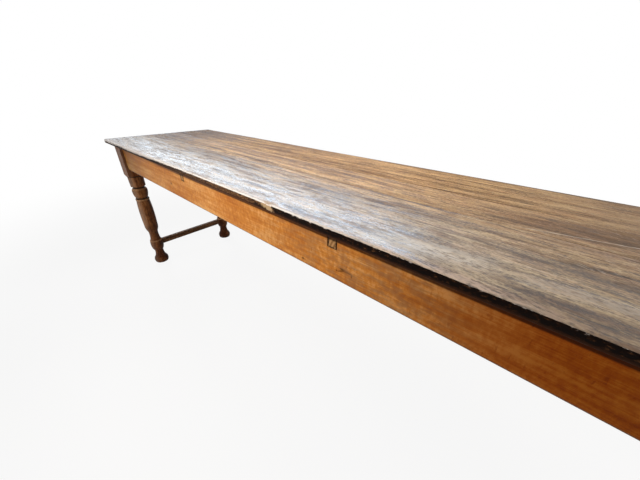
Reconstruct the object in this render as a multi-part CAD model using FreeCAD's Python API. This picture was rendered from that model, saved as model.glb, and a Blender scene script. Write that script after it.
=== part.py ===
import FreeCAD, Part
import math
import os

# Refectory table on four turned legs, in millimetres.
# X runs along the table, the front is at -Y, Z is up and the floor under the table's middle is the origin.

# Overall sizes
LENGTH = 3130.0
WIDTH = 600.0
HEIGHT = 765.0

# Top of three boards, with loose tongues in the seams
TOP_THICK = 20.0
FRONT_BOARD_WIDTH = 255.0
MIDDLE_BOARD_WIDTH = 130.0
SEAM_GAP = 0.6
TOP_CORNER_RADIUS = 9.0
UPPER_ARRIS_RADIUS = 5.0
LOWER_ARRIS_RADIUS = 2.5
TONGUE_THICK = 6.0
TONGUE_WIDTH = 24.0
TONGUE_END_INSET = 3.0
GROOVE_RELIEF = 1.0

# Legs: where they stand, and the square block at the top
END_OVERHANG = 51.0
SIDE_OVERHANG = 26.0
LEG_BLOCK = 82.0
BLOCK_HEIGHT = 175.0
BLOCK_SHOULDER = 9.0
BLOCK_ARRIS_RADIUS = 2.0

# Turned part of a leg, from the floor up to the shoulder of the baluster
FOOT_HEIGHT = 41.0
FOOT_FULL_HEIGHT = 17.0
FOOT_BASE_RADIUS = 36.0
FOOT_RADIUS = 40.5
FOOT_TOP_RADIUS = 31.0
ANKLE_HEIGHT = 49.0
ANKLE_NARROW_RISE = 35.0
ANKLE_RADIUS = 24.0
ANKLE_TOP_RADIUS = 24.8
CUP_HEIGHT = 66.0
CUP_FULL_RISE = 36.0
CUP_BASE_RADIUS = 28.0
CUP_RADIUS = 36.0
CUP_TOP_RADIUS = 33.5
FLARE_RADIUS = 30.0
FLARE_HEIGHT = 48.0
NECK_RADIUS = 25.0
NECK_RISE = 18.0
NECK_TOP_RADIUS = 27.5
SHOULDER_HEIGHT = 34.0
SHOULDER_RADIUS = 36.0

# Turned part of a leg, from the block down to the top of the baluster
DRUM_HEIGHT = 60.0
DRUM_TOP_RADIUS = 39.0
DRUM_LOW_RADIUS = 37.5
DRUM_EDGE = 2.0
UPPER_GROOVE_HEIGHT = 9.0
UPPER_GROOVE_RADIUS = 27.0
BALL_HEIGHT = 59.0
BALL_FULL_DROP = 18.0
BALL_LOW_RADIUS = 31.0
BALL_RADIUS = 39.5
LOWER_GROOVE_HEIGHT = 5.0
LOWER_GROOVE_RADIUS = 28.0
COLLAR_HEIGHT = 11.0
COLLAR_RADIUS = 36.0
BALUSTER_RADIUS = 38.2
BALUSTER_FULL_DROP = 82.0
BALUSTER_TOP_RADIUS = 34.0

# Aprons, tenoned into the blocks
APRON_DEPTH = 130.0
APRON_THICK = 28.0
APRON_SETBACK = 12.0
APRON_ARRIS_RADIUS = 2.5
TENON_THICK = 12.0
TENON_LOW_SHOULDER = 10.0
TENON_HAUNCH = 25.0
MORTISE_WALL = 3.0
MORTISE_RELIEF = 1.0

# Pegs that lock the apron tenons
PEG_RADIUS = 4.5
PEG_FIT = 0.1
PEG_GRIP = 12.0
PEG_PROUD = 0.6
PEG_SETBACK = 22.0
PEG_PITCH = 52.0
PEG_STAGGER = 14.0

# End stretchers, housed in the cups of the legs
STRETCHER_HEIGHT = 32.0
STRETCHER_WIDTH = 26.0
STRETCHER_CHAMFER = 3.0
STRETCHER_RISE = 8.0
STRETCHER_SEAT = 24.0
STRETCHER_TENON_THICK = 12.0
STRETCHER_TENON_HEIGHT = 20.0
STRETCHER_TENON_LENGTH = 34.0
STRETCHER_PEG_RADIUS = 3.5
STRETCHER_PEG_SETBACK = 13.0
STRETCHER_PEG_GRIP = 14.0

# Cross bearers, let into the upper edges of the long aprons
BAYS = 4
BEARER_WIDTH = 24.0
BEARER_DEPTH = 50.0
NOTCH_GAP = 2.0
SCREW_RADIUS = 2.5
SCREW_FIT = 0.1
SCREW_HEAD_RADIUS = 5.0
SCREW_HEAD_HEIGHT = 3.5
SCREW_POINT = 5.0
SCREW_COVER = 6.0
SCREW_POCKET_RADIUS = 7.0
SCREW_POCKET_DEPTH = 14.0

# Glue blocks in the corner under the top
GLUE_BLOCK_SIDE = 34.0
GLUE_BLOCK_FLAT = 8.0
GLUE_BLOCK_LENGTH = 95.0
BLOCKS_PER_BAY = 2

# Heights
LEG_HEIGHT = HEIGHT - TOP_THICK
APRON_Z = LEG_HEIGHT - APRON_DEPTH
TENON_Z = APRON_Z + TENON_LOW_SHOULDER
TENON_TOP_Z = LEG_HEIGHT - TENON_HAUNCH
BEARER_Z = LEG_HEIGHT - BEARER_DEPTH
CUP_Z = FOOT_HEIGHT + ANKLE_HEIGHT
FLARE_Z = CUP_Z + CUP_HEIGHT
NECK_Z = FLARE_Z + FLARE_HEIGHT
SHOULDER_Z = NECK_Z + NECK_RISE
BALUSTER_Z = SHOULDER_Z + SHOULDER_HEIGHT
BLOCK_Z = LEG_HEIGHT - BLOCK_HEIGHT
DRUM_Z = BLOCK_Z - DRUM_HEIGHT
BALL_TOP_Z = DRUM_Z - UPPER_GROOVE_HEIGHT
BALL_Z = BALL_TOP_Z - BALL_HEIGHT
COLLAR_TOP_Z = BALL_Z - LOWER_GROOVE_HEIGHT
COLLAR_Z = COLLAR_TOP_Z - COLLAR_HEIGHT
STRETCHER_Z = CUP_Z + CUP_FULL_RISE + STRETCHER_RISE

# Places in plan
LEG_OUTER_X = LENGTH / 2 - END_OVERHANG
LEG_OUTER_Y = WIDTH / 2 - SIDE_OVERHANG
LEG_X = LEG_OUTER_X - LEG_BLOCK / 2
LEG_Y = LEG_OUTER_Y - LEG_BLOCK / 2
APRON_INNER_X = LEG_OUTER_X - APRON_SETBACK - APRON_THICK
APRON_OUTER_Y = LEG_OUTER_Y - APRON_SETBACK
APRON_INNER_Y = APRON_OUTER_Y - APRON_THICK
BAY_LENGTH = 2 * LEG_X / BAYS
FRONT_SEAM_Y = FRONT_BOARD_WIDTH - WIDTH / 2
REAR_SEAM_Y = FRONT_SEAM_Y + MIDDLE_BOARD_WIDTH

# Depths into a leg, from its outer faces
TENON_INSET = APRON_SETBACK + (APRON_THICK - TENON_THICK) / 2
TENON_LENGTH = LEG_BLOCK - TENON_INSET - TENON_THICK - MORTISE_WALL - MORTISE_RELIEF
PEG_DEPTH = TENON_INSET + TENON_THICK + PEG_GRIP
PEG_ACROSS = LEG_BLOCK - PEG_SETBACK

UP = FreeCAD.Vector(0, 0, 1)
ENDS = {"left": -1, "right": 1}
SIDES = {"front": -1, "rear": 1}


def block(a, b):
    """Box between two opposite corners, given in any order."""
    low = [min(p, q) for p, q in zip(a, b)]
    size = [abs(p - q) for p, q in zip(a, b)]
    return Part.makeBox(*size, FreeCAD.Vector(*low))


def corner_point(end, side, u, v, z):
    """Point at depth u from a leg's outer end face and depth v from its outer long face."""
    return FreeCAD.Vector(end * (LEG_OUTER_X - u), side * (LEG_OUTER_Y - v), z)


def corner_block(end, side, low, high):
    """Box between two points given as depths into a leg's corner and a height."""
    return block(corner_point(end, side, *low), corner_point(end, side, *high))


def prism(points, along):
    """Solid swept straight from a closed outline of points."""
    outline = Part.makePolygon(points + points[:1])
    return Part.Face(outline).extrude(along)


def outline_point(radius, z):
    return FreeCAD.Vector(radius, 0, z)


def half_swell(full, end):
    """Arc from the fullest or narrowest point of a turning, where it runs upright, to its end."""
    offset = full.x - end.x
    rise = end.z - full.z
    radius = (offset ** 2 + rise ** 2) / (2 * offset)
    half_turn = math.atan2(rise / radius, 1 - offset / radius) / 2
    middle = outline_point(full.x - radius + radius * math.cos(half_turn), full.z + radius * math.sin(half_turn))
    return Part.Arc(full, middle, end).toShape()


def swell(low, full, high):
    """Two arcs of a turning that meet, upright, at its fullest or narrowest point."""
    return [half_swell(full, low), half_swell(full, high)]


def line(a, b):
    return Part.makeLine(a, b)


def revolve(edges):
    """Solid of revolution round the Z axis from a closed outline."""
    wire = Part.Wire(Part.__sortEdges__(edges))
    return Part.Face(wire).revolve(FreeCAD.Vector(), UP, 360)


def closed_outline(edges, low, high):
    """Outline closed through the axis, from the floor to the top of the turning."""
    axis_low = outline_point(0, low.z)
    axis_high = outline_point(0, high.z)
    return edges + [line(axis_low, low), line(high, axis_high), line(axis_high, axis_low)]


def lower_turning():
    """Edges from the floor up to the baluster: bun foot, ankle, cup, flare, neck and shoulder."""
    base = outline_point(FOOT_BASE_RADIUS, 0)
    foot_full = outline_point(FOOT_RADIUS, FOOT_FULL_HEIGHT)
    foot_top = outline_point(FOOT_TOP_RADIUS, FOOT_HEIGHT)
    ankle = outline_point(ANKLE_RADIUS, FOOT_HEIGHT + ANKLE_NARROW_RISE)
    ankle_top = outline_point(ANKLE_TOP_RADIUS, CUP_Z)
    cup_base = outline_point(CUP_BASE_RADIUS, CUP_Z)
    cup_full = outline_point(CUP_RADIUS, CUP_Z + CUP_FULL_RISE)
    cup_top = outline_point(CUP_TOP_RADIUS, FLARE_Z)
    flare = outline_point(FLARE_RADIUS, FLARE_Z)
    neck = outline_point(NECK_RADIUS, NECK_Z)
    neck_top = outline_point(NECK_TOP_RADIUS, SHOULDER_Z)
    shoulder = outline_point(SHOULDER_RADIUS, BALUSTER_Z)
    return [
        *swell(base, foot_full, foot_top),
        *swell(foot_top, ankle, ankle_top),
        line(ankle_top, cup_base),
        *swell(cup_base, cup_full, cup_top),
        line(cup_top, flare),
        *swell(flare, neck, neck_top),
        half_swell(shoulder, neck_top),
    ]


def upper_turning():
    """Edges from the baluster up to the block: baluster, collar, ball and drum, with grooves between."""
    shoulder = outline_point(SHOULDER_RADIUS, BALUSTER_Z)
    baluster_full = outline_point(BALUSTER_RADIUS, COLLAR_Z - BALUSTER_FULL_DROP)
    baluster_top = outline_point(BALUSTER_TOP_RADIUS, COLLAR_Z)
    collar_full = outline_point(COLLAR_RADIUS, COLLAR_Z + COLLAR_HEIGHT / 2)
    collar_top = outline_point(BALUSTER_TOP_RADIUS, COLLAR_TOP_Z)
    low_groove = outline_point(LOWER_GROOVE_RADIUS, COLLAR_TOP_Z)
    low_groove_top = outline_point(LOWER_GROOVE_RADIUS, BALL_Z)
    ball_low = outline_point(BALL_LOW_RADIUS, BALL_Z)
    ball_full = outline_point(BALL_RADIUS, BALL_TOP_Z - BALL_FULL_DROP)
    ball_top = outline_point(BALL_LOW_RADIUS, BALL_TOP_Z)
    high_groove = outline_point(UPPER_GROOVE_RADIUS, BALL_TOP_Z)
    high_groove_top = outline_point(UPPER_GROOVE_RADIUS, DRUM_Z)
    drum_low = outline_point(DRUM_LOW_RADIUS - DRUM_EDGE, DRUM_Z)
    drum_edge = outline_point(DRUM_LOW_RADIUS, DRUM_Z + DRUM_EDGE)
    drum_top = outline_point(DRUM_TOP_RADIUS, BLOCK_Z)
    return [
        *swell(shoulder, baluster_full, baluster_top),
        *swell(baluster_top, collar_full, collar_top),
        line(collar_top, low_groove),
        line(low_groove, low_groove_top),
        line(low_groove_top, ball_low),
        *swell(ball_low, ball_full, ball_top),
        line(ball_top, high_groove),
        line(high_groove, high_groove_top),
        line(high_groove_top, drum_low),
        line(drum_low, drum_edge),
        line(drum_edge, drum_top),
    ]


def turned_shaft():
    """Turned part of a leg, on the Z axis."""
    low = outline_point(FOOT_BASE_RADIUS, 0)
    high = outline_point(DRUM_TOP_RADIUS, BLOCK_Z)
    return revolve(closed_outline(lower_turning() + upper_turning(), low, high))


def square_block():
    """Square block on the Z axis, its lower corners turned away to a sloping shoulder."""
    half = LEG_BLOCK / 2
    square = block((-half, -half, BLOCK_Z), (half, half, LEG_HEIGHT))
    upright = [edge for edge in square.Edges if edge.tangentAt(edge.FirstParameter).isParallel(UP, 1e-6)]
    rounded = square.makeFillet(BLOCK_ARRIS_RADIUS, upright)
    corner = half * math.sqrt(2)
    low = outline_point(DRUM_TOP_RADIUS, BLOCK_Z)
    slope_end = outline_point(corner, BLOCK_Z + BLOCK_SHOULDER)
    high = outline_point(corner, LEG_HEIGHT)
    turned = revolve(closed_outline([line(low, slope_end), line(slope_end, high)], low, high))
    return rounded.common(turned)


def leg_blank(end, side):
    """Leg before its joints are cut."""
    leg = turned_shaft().fuse(square_block())
    leg.translate(FreeCAD.Vector(end * LEG_X, side * LEG_Y, 0))
    return leg.removeSplitter()


def peg_heights(end_apron):
    """Heights of the two pegs of an apron's tenon; those of the end aprons sit lower, clear of the others."""
    middle = (TENON_Z + TENON_TOP_Z) / 2
    shift = -PEG_STAGGER if end_apron else 0
    return [middle + shift - PEG_PITCH / 2, middle + shift + PEG_PITCH / 2]


def apron_peg(end, side, z, end_apron, radius):
    """Round peg, or its hole with a larger radius, driven from the leg's outer face through a tenon."""
    if end_apron:
        start = corner_point(end, side, -PEG_PROUD, PEG_ACROSS, z)
        direction = FreeCAD.Vector(-end, 0, 0)
    else:
        start = corner_point(end, side, PEG_ACROSS, -PEG_PROUD, z)
        direction = FreeCAD.Vector(0, -side, 0)
    return Part.makeCylinder(radius, PEG_DEPTH + PEG_PROUD, start, direction)


def apron_pegs(end, side, end_apron, radius=PEG_RADIUS):
    return [apron_peg(end, side, z, end_apron, radius) for z in peg_heights(end_apron)]


def peg_holes(end, side, end_apron):
    return apron_pegs(end, side, end_apron, PEG_RADIUS + PEG_FIT)


def apron_tenon(end, side, end_apron, relief=0):
    """Tenon of an apron, or its mortise with a relief past the tenon's end."""
    deep = LEG_BLOCK - TENON_LENGTH - relief
    thin = (TENON_INSET, TENON_INSET + TENON_THICK)
    if end_apron:
        return corner_block(end, side, (thin[0], deep, TENON_Z), (thin[1], LEG_BLOCK, TENON_TOP_Z))
    return corner_block(end, side, (deep, thin[0], TENON_Z), (LEG_BLOCK, thin[1], TENON_TOP_Z))


def stretcher_bar(end, low_y, high_y):
    """Length of a stretcher's full section, with chamfered edges."""
    half_width = STRETCHER_WIDTH / 2
    half_height = STRETCHER_HEIGHT / 2
    cut = STRETCHER_CHAMFER
    section = [
        (-half_width, cut - half_height),
        (cut - half_width, -half_height),
        (half_width - cut, -half_height),
        (half_width, cut - half_height),
        (half_width, half_height - cut),
        (half_width - cut, half_height),
        (cut - half_width, half_height),
        (-half_width, half_height - cut),
    ]
    points = [FreeCAD.Vector(end * LEG_X + x, low_y, STRETCHER_Z + z) for x, z in section]
    return prism(points, FreeCAD.Vector(0, high_y - low_y, 0))


def stretcher_tenon(end, side, relief=0):
    """Tenon of a stretcher, or its mortise with a relief past the tenon's end."""
    seat = LEG_Y - STRETCHER_SEAT
    half_thick = STRETCHER_TENON_THICK / 2
    half_height = STRETCHER_TENON_HEIGHT / 2
    low = (end * LEG_X - half_thick, side * seat, STRETCHER_Z - half_height)
    tip = side * (seat + STRETCHER_TENON_LENGTH + relief)
    return block(low, (end * LEG_X + half_thick, tip, STRETCHER_Z + half_height))


def stretcher_drill(end, side, radius):
    """Cylinder along X from outside the leg, through the stretcher's tenon."""
    y = side * (LEG_Y - STRETCHER_SEAT + STRETCHER_PEG_SETBACK)
    start = FreeCAD.Vector(end * LEG_OUTER_X, y, STRETCHER_Z)
    depth = LEG_BLOCK / 2 + STRETCHER_PEG_GRIP
    return Part.makeCylinder(radius, depth, start, FreeCAD.Vector(-end, 0, 0))


def stretcher_peg(end, side):
    """Peg trimmed flush with the turned surface."""
    return stretcher_drill(end, side, STRETCHER_PEG_RADIUS).common(leg_blank(end, side))


def make_leg(end, side):
    """Turned leg with its mortises, its housing for the stretcher and its peg holes."""
    seat = side * (LEG_Y - STRETCHER_SEAT)
    inner = side * (LEG_Y - LEG_BLOCK)
    cuts = [
        apron_tenon(end, side, False, MORTISE_RELIEF),
        apron_tenon(end, side, True, MORTISE_RELIEF),
        stretcher_bar(end, seat, inner),
        stretcher_tenon(end, side, MORTISE_RELIEF),
        stretcher_drill(end, side, STRETCHER_PEG_RADIUS + PEG_FIT),
        *peg_holes(end, side, False),
        *peg_holes(end, side, True),
    ]
    return leg_blank(end, side).cut(cuts)


def apron_body(low, high):
    """Apron between its shoulders, with its two lower edges eased."""
    body = block(low, high)
    lower = [edge for edge in body.Edges if edge.BoundBox.ZMax < APRON_Z + APRON_ARRIS_RADIUS]
    longest = max(edge.Length for edge in lower)
    return body.makeFillet(APRON_ARRIS_RADIUS, [edge for edge in lower if edge.Length > longest / 2])


def make_long_apron(side):
    """Front or rear apron, with a tenon at each end and notches for the bearers."""
    shoulder_x = LEG_OUTER_X - LEG_BLOCK
    low = (-shoulder_x, side * APRON_INNER_Y, APRON_Z)
    high = (shoulder_x, side * APRON_OUTER_Y, LEG_HEIGHT)
    tenons = [apron_tenon(end, side, False) for end in ENDS.values()]
    holes = [hole for end in ENDS.values() for hole in peg_holes(end, side, False)]
    notches = [bearer_bar(x, NOTCH_GAP) for x in bearer_places()]
    apron = apron_body(low, high).fuse(tenons)
    return apron.cut(holes + notches).removeSplitter()


def make_end_apron(end):
    """Left or right apron, with a tenon at each end."""
    shoulder_y = LEG_OUTER_Y - LEG_BLOCK
    low = (end * APRON_INNER_X, -shoulder_y, APRON_Z)
    high = (end * (APRON_INNER_X + APRON_THICK), shoulder_y, LEG_HEIGHT)
    tenons = [apron_tenon(end, side, True) for side in SIDES.values()]
    holes = [hole for side in SIDES.values() for hole in peg_holes(end, side, True)]
    return apron_body(low, high).fuse(tenons).cut(holes).removeSplitter()


def make_stretcher(end):
    """Low rail between the two legs of an end, its shoulders housed in the cups."""
    seat = LEG_Y - STRETCHER_SEAT
    tenons = [stretcher_tenon(end, side) for side in SIDES.values()]
    holes = [stretcher_drill(end, side, STRETCHER_PEG_RADIUS + PEG_FIT) for side in SIDES.values()]
    return stretcher_bar(end, -seat, seat).fuse(tenons).cut(holes).removeSplitter()


def bearer_places():
    """Middles of the bearers along the table, between the bays."""
    return [(bay - BAYS / 2) * BAY_LENGTH for bay in range(1, BAYS)]


def bearer_bar(x, gap=0):
    """Bearer from face to face of the long aprons, or its notch with a gap on each side."""
    half = BEARER_WIDTH / 2 + gap
    return block((x - half, -APRON_OUTER_Y, BEARER_Z), (x + half, APRON_OUTER_Y, LEG_HEIGHT))


def screw_places():
    """One screw under the middle of each board, across the table."""
    edges = [-WIDTH / 2, FRONT_SEAM_Y, REAR_SEAM_Y, WIDTH / 2]
    return [(low + high) / 2 for low, high in zip(edges, edges[1:])]


def screw_seat_z():
    return BEARER_Z + SCREW_POCKET_DEPTH


def screw_tip_z():
    return HEIGHT - SCREW_COVER


def screw_shank(x, y, radius):
    """Shank with a pointed tip, from the pocket's floor up into a board."""
    seat = FreeCAD.Vector(x, y, screw_seat_z())
    straight = screw_tip_z() - SCREW_POINT - screw_seat_z()
    point = Part.makeCone(radius, 0, SCREW_POINT, seat + UP * straight, UP)
    return Part.makeCylinder(radius, straight, seat, UP).fuse(point)


def make_screw(x, y):
    """Round-headed screw, its head in the bearer's pocket."""
    seat = FreeCAD.Vector(x, y, screw_seat_z())
    ball_radius = (SCREW_HEAD_RADIUS ** 2 + SCREW_HEAD_HEIGHT ** 2) / (2 * SCREW_HEAD_HEIGHT)
    ball = Part.makeSphere(ball_radius, seat + UP * (ball_radius - SCREW_HEAD_HEIGHT))
    under = Part.makeCylinder(SCREW_HEAD_RADIUS, SCREW_HEAD_HEIGHT, seat, UP * -1)
    return ball.common(under).fuse(screw_shank(x, y, SCREW_RADIUS)).removeSplitter()


def screw_hole(x, y):
    """Pocket in the bearer's underside, with the hole for the shank above it."""
    pocket = Part.makeCylinder(SCREW_POCKET_RADIUS, SCREW_POCKET_DEPTH, FreeCAD.Vector(x, y, BEARER_Z), UP)
    return pocket.fuse(screw_shank(x, y, SCREW_RADIUS + SCREW_FIT))


def make_bearer(x):
    """Cross bearer with its screw pockets."""
    return bearer_bar(x).cut([screw_hole(x, y) for y in screw_places()])


def top_slab():
    """Outline of the whole top, with rounded corners and worn arrises."""
    slab = block((-LENGTH / 2, -WIDTH / 2, LEG_HEIGHT), (LENGTH / 2, WIDTH / 2, HEIGHT))
    upright = [edge for edge in slab.Edges if edge.BoundBox.ZLength > TOP_THICK / 2]
    slab = slab.makeFillet(TOP_CORNER_RADIUS, upright)
    upper = [edge for edge in slab.Edges if edge.BoundBox.ZMin > HEIGHT - TOP_THICK / 2]
    slab = slab.makeFillet(UPPER_ARRIS_RADIUS, upper)
    lower = [edge for edge in slab.Edges if edge.BoundBox.ZMax < LEG_HEIGHT + TOP_THICK / 4]
    return slab.makeFillet(LOWER_ARRIS_RADIUS, lower)


def tongue_bar(seam_y, relief=0, inset=TONGUE_END_INSET):
    """Loose tongue along a seam, or its groove with a relief past each edge."""
    half_width = TONGUE_WIDTH / 2 + relief
    z = LEG_HEIGHT + (TOP_THICK - TONGUE_THICK) / 2
    reach = LENGTH / 2 - inset
    return block((-reach, seam_y - half_width, z), (reach, seam_y + half_width, z + TONGUE_THICK))


def make_board(low_y, high_y):
    """One board of the top, grooved for the tongues and bored for the screws."""
    strip = block((-LENGTH / 2, low_y, LEG_HEIGHT), (LENGTH / 2, high_y, HEIGHT))
    grooves = [tongue_bar(seam, GROOVE_RELIEF, 0) for seam in (FRONT_SEAM_Y, REAR_SEAM_Y)]
    middle = [y for y in screw_places() if low_y < y < high_y]
    holes = [screw_shank(x, y, SCREW_RADIUS + SCREW_FIT) for x in bearer_places() for y in middle]
    return top_slab().common(strip).cut(grooves + holes)


def glue_block_section():
    """Depths below the top and away from the apron of a glue block's outline."""
    side = GLUE_BLOCK_SIDE
    flat = GLUE_BLOCK_FLAT
    return [(0, 0), (side, 0), (side, flat), (flat, side), (0, side)]


def long_glue_block(side, x):
    """Glue block behind a long apron."""
    start = x - GLUE_BLOCK_LENGTH / 2
    points = [
        FreeCAD.Vector(start, side * (APRON_INNER_Y - away), LEG_HEIGHT - drop)
        for away, drop in glue_block_section()
    ]
    return prism(points, FreeCAD.Vector(GLUE_BLOCK_LENGTH, 0, 0))


def end_glue_block(end):
    """Glue block behind an end apron, under the middle board."""
    start = (FRONT_SEAM_Y + REAR_SEAM_Y - GLUE_BLOCK_LENGTH) / 2
    points = [
        FreeCAD.Vector(end * (APRON_INNER_X - away), start, LEG_HEIGHT - drop)
        for away, drop in glue_block_section()
    ]
    return prism(points, FreeCAD.Vector(0, GLUE_BLOCK_LENGTH, 0))


def glue_block_places():
    """Middles of the long aprons' glue blocks, evenly spread over each bay."""
    step = BAY_LENGTH / (BLOCKS_PER_BAY + 1)
    bays = [-LEG_X + bay * BAY_LENGTH for bay in range(BAYS)]
    return [bay + (number + 1) * step for bay in bays for number in range(BLOCKS_PER_BAY)]


def top_pieces():
    """Boards and tongues of the top."""
    half_gap = SEAM_GAP / 2
    return {
        "top_board_front": make_board(-WIDTH / 2, FRONT_SEAM_Y - half_gap),
        "top_board_middle": make_board(FRONT_SEAM_Y + half_gap, REAR_SEAM_Y - half_gap),
        "top_board_rear": make_board(REAR_SEAM_Y + half_gap, WIDTH / 2),
        "top_tongue_front": tongue_bar(FRONT_SEAM_Y),
        "top_tongue_rear": tongue_bar(REAR_SEAM_Y),
    }


def side_pieces(name, side):
    """What stands along one long side: the apron, its pegs and its glue blocks."""
    pegs = [peg for end in ENDS.values() for peg in apron_pegs(end, side, False)]
    blocks = [long_glue_block(side, x) for x in glue_block_places()]
    return {
        f"apron_{name}": make_long_apron(side),
        f"apron_pegs_{name}": Part.makeCompound(pegs),
        f"glue_blocks_{name}": Part.makeCompound(blocks),
    }


def end_pieces(name, end):
    """What stands at one end: the legs, the apron, the stretcher, their pegs and a glue block."""
    pegs = [peg for side in SIDES.values() for peg in apron_pegs(end, side, True)]
    low_pegs = [stretcher_peg(end, side) for side in SIDES.values()]
    legs = {f"leg_{side_name}_{name}": make_leg(end, side) for side_name, side in SIDES.items()}
    return {
        **legs,
        f"apron_{name}": make_end_apron(end),
        f"apron_pegs_{name}": Part.makeCompound(pegs),
        f"stretcher_{name}": make_stretcher(end),
        f"stretcher_pegs_{name}": Part.makeCompound(low_pegs),
        f"glue_block_{name}": end_glue_block(end),
    }


def bearer_pieces():
    """Cross bearers, each with its row of screws."""
    pieces = {}
    for number, x in enumerate(bearer_places(), 1):
        pieces[f"bearer_{number}"] = make_bearer(x)
        pieces[f"bearer_screws_{number}"] = Part.makeCompound([make_screw(x, y) for y in screw_places()])
    return pieces


def table_pieces():
    pieces = top_pieces()
    for name, side in SIDES.items():
        pieces.update(side_pieces(name, side))
    for name, end in ENDS.items():
        pieces.update(end_pieces(name, end))
    pieces.update(bearer_pieces())
    return pieces


os.makedirs("parts", exist_ok=True)
for node, shape in table_pieces().items():
    shape.exportStep(f"parts/{node}.step")
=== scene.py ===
import math

import bmesh
import bpy
from mathutils import Matrix, Vector, noise


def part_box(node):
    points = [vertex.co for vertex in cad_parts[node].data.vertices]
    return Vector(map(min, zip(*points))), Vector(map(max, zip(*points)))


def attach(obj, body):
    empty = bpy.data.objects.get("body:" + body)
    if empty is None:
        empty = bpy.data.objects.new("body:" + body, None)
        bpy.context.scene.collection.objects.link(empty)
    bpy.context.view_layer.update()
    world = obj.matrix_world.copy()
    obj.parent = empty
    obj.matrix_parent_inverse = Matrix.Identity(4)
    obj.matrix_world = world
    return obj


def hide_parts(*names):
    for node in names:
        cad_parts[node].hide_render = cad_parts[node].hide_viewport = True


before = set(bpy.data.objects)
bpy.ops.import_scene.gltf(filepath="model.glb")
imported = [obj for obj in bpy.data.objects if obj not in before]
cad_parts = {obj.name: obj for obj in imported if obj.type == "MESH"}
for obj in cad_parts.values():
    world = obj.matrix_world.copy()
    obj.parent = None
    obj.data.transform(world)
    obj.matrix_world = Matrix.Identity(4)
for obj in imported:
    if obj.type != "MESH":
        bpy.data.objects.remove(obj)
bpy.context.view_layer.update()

# Photograph: picture size, and the camera that fits the table's edges in it
IMAGE_WIDTH = 640
FOCAL_PIXELS = 268.7
SENSOR_WIDTH = 36.0
CAMERA_PLACE = Vector((0.3196, -0.6626, 0.999))
CAMERA_TURN = math.radians(48.45)
CAMERA_DIP = math.radians(28.98)
CAMERA_ROLL = math.radians(0.58)
CAMERA_NEAR = 0.01

# Floor: half size, cells, half axes of the part that keeps the shadow, where that part begins and ends to go
# over to white in shares of them, how white it is there, and its finish
FLOOR_HALF = 14.0
FLOOR_CELLS = 12
FLOOR_REACH = (2.6, 1.5)
FLOOR_FADE = (0.75, 1.6, 0.9, 1.0)
FLOOR_COLOUR = (0.5, 0.495, 0.49, 1.0)
FLOOR_ROUGHNESS = 0.9

# Surroundings: their colour, and their light on the table
WHITE = (1.0, 1.0, 1.0, 1.0)
WORLD_LIGHT = 0.18

# Lamps: place, point that they face, size, power in watts, colour, spread in degrees, and rays that show them
MIRRORED = ("glossy",)
UNSEEN = ("diffuse",)
WARM_LIGHT = (1.0, 0.96, 0.9)
LAMPS = {
    "window": ((-4.2, 4.2, 4.0), (-4.2, 0.0, 3.7), (5.6, 2.1), 280.0, (0.57, 0.77, 1.0), 180.0, MIRRORED),
    "side": ((-12.2, 4.2, 3.45), (-12.2, 0.0, 3.15), (10.4, 2.7), 330.0, (0.7, 0.85, 1.0), 180.0, MIRRORED),
    "far": ((-8.0, 0.55, 1.75), (-1.5, 0.0, 0.8), (2.1, 1.4), 8.0, (0.7, 0.84, 1.0), 180.0, MIRRORED),
    "over": ((-0.3, 0.3, 2.3), (-0.3, 0.05, 0.76), (0.9, 0.7), 19.8, (1.0, 0.95, 0.88), 180.0, UNSEEN),
    "key": ((-0.42, -1.36, 1.0), (-0.42, -0.26, 0.68), (0.6, 0.5), 7.7, (1.0, 0.94, 0.86), 130.0, UNSEEN),
    "leg": ((-1.75, -1.75, 0.4), (-1.5, -0.23, 0.28), (0.4, 0.4), 1.7, (0.94, 0.97, 1.0), 50.0, UNSEEN),
    "rear": ((0.35, 2.0, 0.62), (0.35, 0.26, 0.66), (2.6, 0.4), 6.0, WARM_LIGHT, 30.0, UNSEEN),
    "right": ((3.2, -0.3, 1.6), (1.5, 0.0, 0.45), (0.8, 0.8), 6.0, WARM_LIGHT, 45.0, UNSEEN),
    "left": ((-3.2, 0.3, 0.7), (-1.5, 0.0, 0.4), (0.8, 0.4), 4.0, WARM_LIGHT, 45.0, UNSEEN),
}

# Places on the table, from the frame
TOP_LOW, TOP_HIGH = (Vector(corner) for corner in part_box("top_board_front"))
REAR_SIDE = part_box("top_board_rear")[1][1]
APRON_LOW, APRON_HIGH = (Vector(corner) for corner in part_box("apron_front"))
BEARER_LOW, BEARER_HIGH = (Vector(corner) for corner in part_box("bearer_2"))
BEARER_HALF = (BEARER_HIGH.x - BEARER_LOW.x) / 2
BEARER_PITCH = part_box("bearer_3")[0][0] - BEARER_LOW.x
LEG_LOW, LEG_HIGH = (Vector(corner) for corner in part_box("leg_rear_right"))
LEG_MIDDLE = (LEG_LOW + LEG_HIGH) / 2

# Boards of the top: whether the front and the rear side are outer ones, seed of the wear, offset in the wood,
# how far the figure is drawn out, and gloss
BOARDS = {
    "top_board_front": ((True, False), 1.0, (0.0, 0.0, 0.0), 1.0, 0.5),
    "top_board_middle": ((False, False), 31.0, (3.7, 1.1, 0.4), 1.5, 0.2),
    "top_board_rear": ((False, True), 67.0, (7.3, 2.3, 0.9), 2.5, 0.06),
}

# Shape of the boards, in metres: spacing of their cuts, radii of their edges, and cuts over a radius
STATION = 0.01
TOP_STEP = 0.006
EDGE_ROUND = 0.0055
UNDER_ROUND = 0.003
SEAM_ROUND = 0.0016
CORNER_ROUND = 0.006
ROUND_STEPS = 5

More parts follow.
